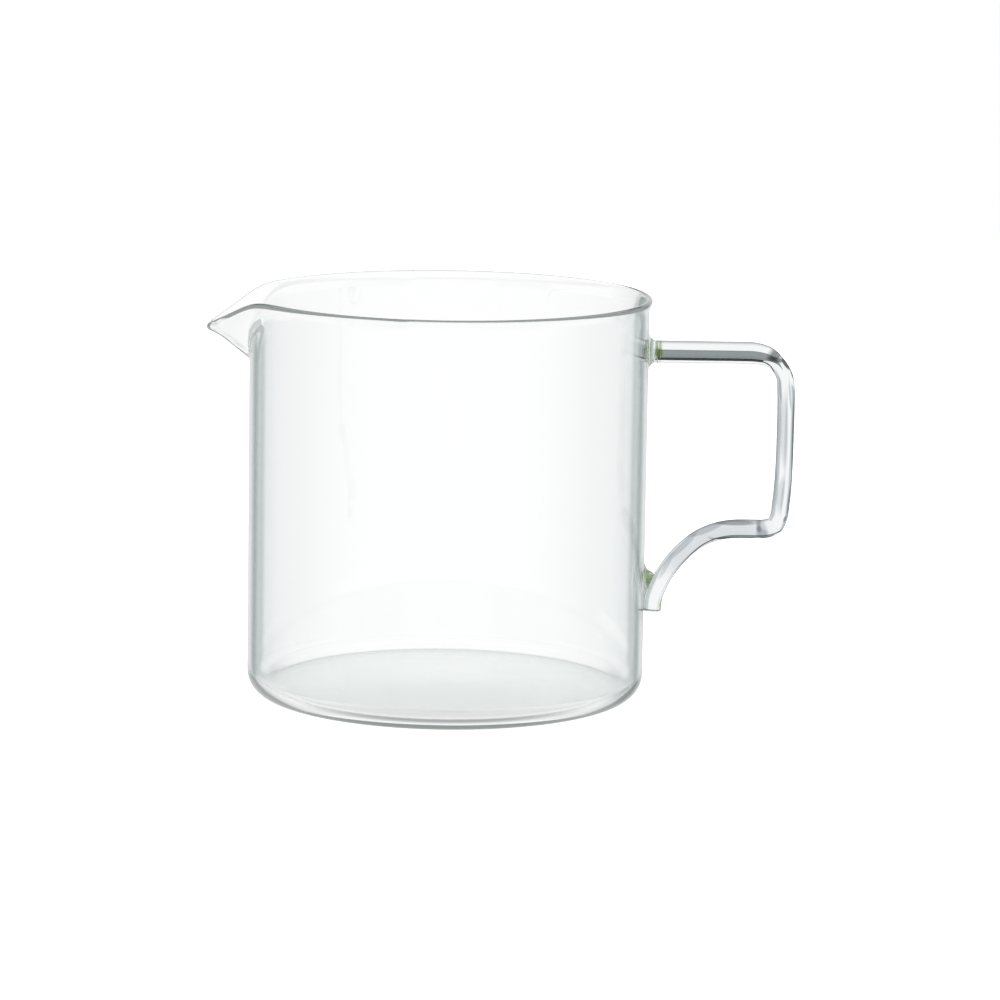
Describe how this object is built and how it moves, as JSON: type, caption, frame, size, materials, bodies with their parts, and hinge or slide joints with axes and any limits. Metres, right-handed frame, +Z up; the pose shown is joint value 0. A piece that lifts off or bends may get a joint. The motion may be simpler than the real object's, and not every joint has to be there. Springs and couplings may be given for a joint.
{
  "type": "coffee server carafe",
  "caption": "Straight-sided clear glass coffee server with a pulled pouring spout and a bent solid rod handle fused to the wall at two welds.",
  "frame": {"origin": "centre of the foot ring, on the surface that the server stands on", "axes": "+Z up along the body's axis, +X towards the handle, -X towards the spout"},
  "size_m": [0.1239, 0.085, 0.085],
  "materials": {
    "blown_glass": "blown clear borosilicate glass, fire-polished rim",
    "rod_glass": "drawn clear borosilicate glass rod, flame-bent",
    "weld_glass": "fused clear borosilicate glass with a faint green cast"
  },
  "bodies": {
    "root": {"glass_body": "blown_glass", "handle_rod": "rod_glass", "upper_weld_pad": "weld_glass", "lower_weld_pad": "weld_glass"}
  },
  "joints": []
}
